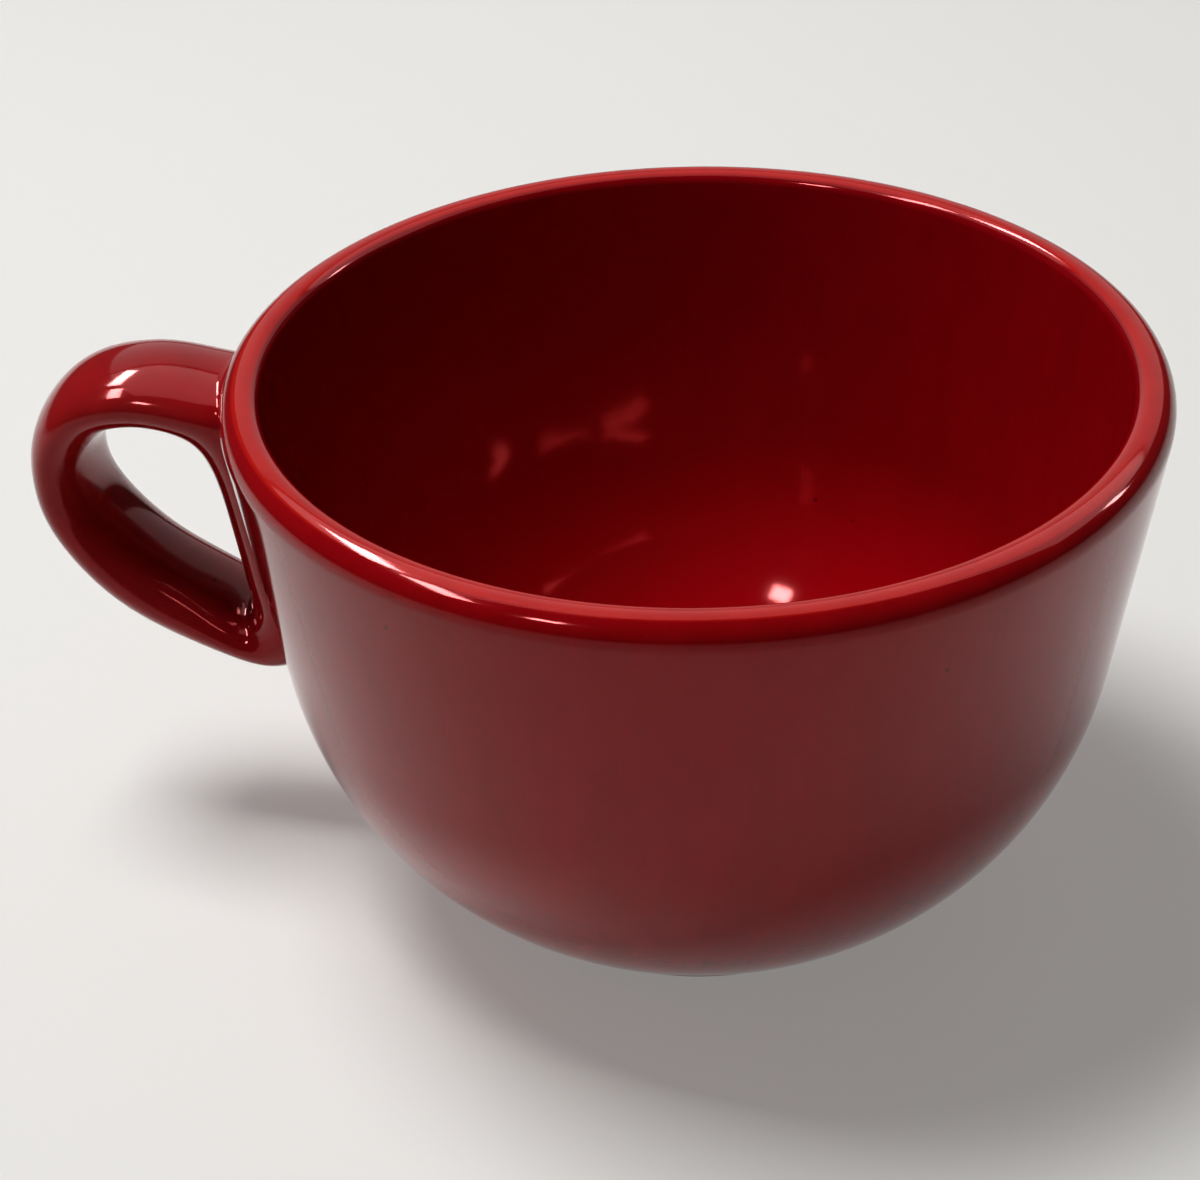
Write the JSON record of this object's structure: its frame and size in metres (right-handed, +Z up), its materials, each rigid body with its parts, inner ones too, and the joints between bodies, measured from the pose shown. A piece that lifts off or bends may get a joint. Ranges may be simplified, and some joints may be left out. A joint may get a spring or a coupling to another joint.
{
  "type": "soup mug",
  "caption": "Wide, low glazed stoneware soup mug: round bowl on a bare foot ring, straight leaning wall, rounded rim and a closed ear handle with a finger gap.",
  "frame": {"origin": "centre of the foot ring on the plane that the mug stands on", "axes": "+Z up along the bowl's axis, -X out through the handle, so the handle's middle plane is XZ"},
  "size_m": [0.1627, 0.13, 0.0824],
  "materials": {
    "bare_clay": "matte",
    "joint_slip": "matte",
    "red_glaze": "gloss"
  },
  "bodies": {
    "root": {"bowl_body": "bare_clay", "foot_ring": "bare_clay", "handle_core": "bare_clay", "handle_slip": "joint_slip", "bowl_glaze": "red_glaze", "liner_glaze": "red_glaze", "handle_glaze": "red_glaze", "base_glaze": "red_glaze"}
  },
  "joints": []
}
